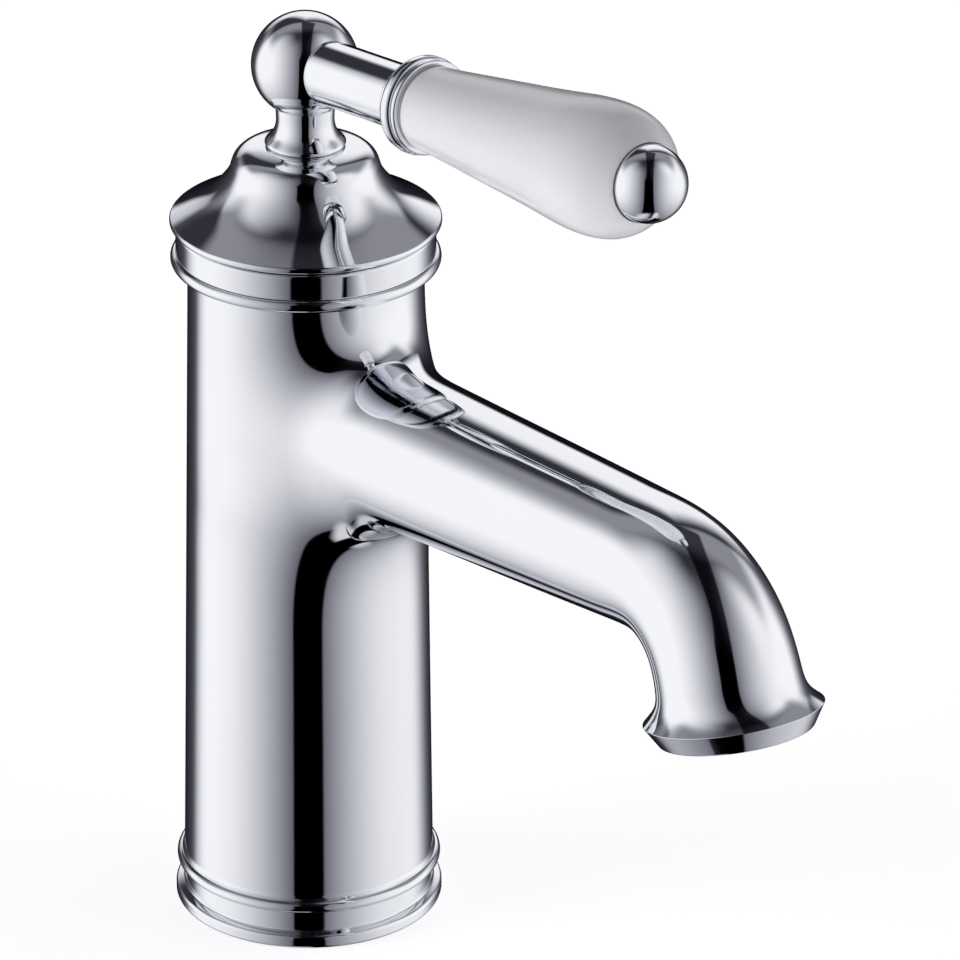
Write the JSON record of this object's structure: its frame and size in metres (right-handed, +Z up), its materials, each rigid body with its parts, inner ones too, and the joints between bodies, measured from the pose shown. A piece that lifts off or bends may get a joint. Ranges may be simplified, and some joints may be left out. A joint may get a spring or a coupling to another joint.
{
  "type": "bathroom mixer faucet",
  "caption": "Chrome single-lever basin mixer: round column with beaded rings, sloping cast spout with a flared mouth, bell cap with a ball, and a lever with a porcelain grip.",
  "frame": {"origin": "centre of the base's flat underside, on the column's axis, level with the basin it stands on", "axes": "+Z up along the column, -Y forward along the spout and the lever, +X to the right seen from the front"},
  "size_m": [0.052, 0.1728, 0.1961],
  "materials": {
    "chrome": "polished chrome plating on brass",
    "porcelain": "glazed white porcelain",
    "brass": "machined, unplated",
    "rubber": "moulded seal rubber",
    "plastic": "moulded acetal",
    "steel": "stainless steel",
    "disc_ceramic": "lapped alumina"
  },
  "bodies": {
    "faucet_body": {"body_casting": "chrome", "base_ring": "chrome", "base_gasket": "rubber", "base_block": "brass", "cold_inlet_tube": "brass", "hot_inlet_tube": "brass", "inlet_tube_seals": "rubber", "collar_ring": "chrome", "dome_cover": "chrome", "cartridge_nut": "brass", "cartridge_housing": "plastic", "cartridge_base": "plastic", "cartridge_seal": "rubber", "port_seals": "rubber", "fixed_disc": "disc_ceramic", "aerator_housing": "chrome", "aerator_insert": "plastic", "aerator_screen": "steel", "aerator_washer": "rubber"},
    "cartridge_turret": {"turret": "plastic", "pivot_pin": "steel"},
    "handle": {"stem": "brass", "bell_cap": "chrome", "grub_screw": "steel", "lever_hub": "chrome", "lever_rod": "chrome", "lever_ferrule": "chrome", "grip_washer": "plastic", "porcelain_grip": "porcelain", "grip_tie_rod": "steel", "end_washer": "plastic", "end_ball": "chrome"},
    "disc_slider": {"moving_disc": "disc_ceramic", "disc_carrier": "plastic"}
  },
  "joints": [
    {"name": "temperature_swivel", "type": "hinge", "parent": "faucet_body", "child": "cartridge_turret", "pos_m": [0, 0, 0.118], "axis": [0, 0, 1], "range_deg": [-45, 45]},
    {"name": "flow_tilt", "type": "hinge", "parent": "cartridge_turret", "child": "handle", "pos_m": [0, 0, 0.118], "axis": [-1, 0, 0], "range_deg": [0, 22]},
    {"name": "disc_slide", "type": "slide", "parent": "cartridge_turret", "child": "disc_slider", "axis": [0, -1, 0], "range_m": [0, 0.0051]}
  ],
  "couplings": [
    {"joint": "disc_slide", "follows": "flow_tilt", "m_per_rad": 0.013}
  ]
}
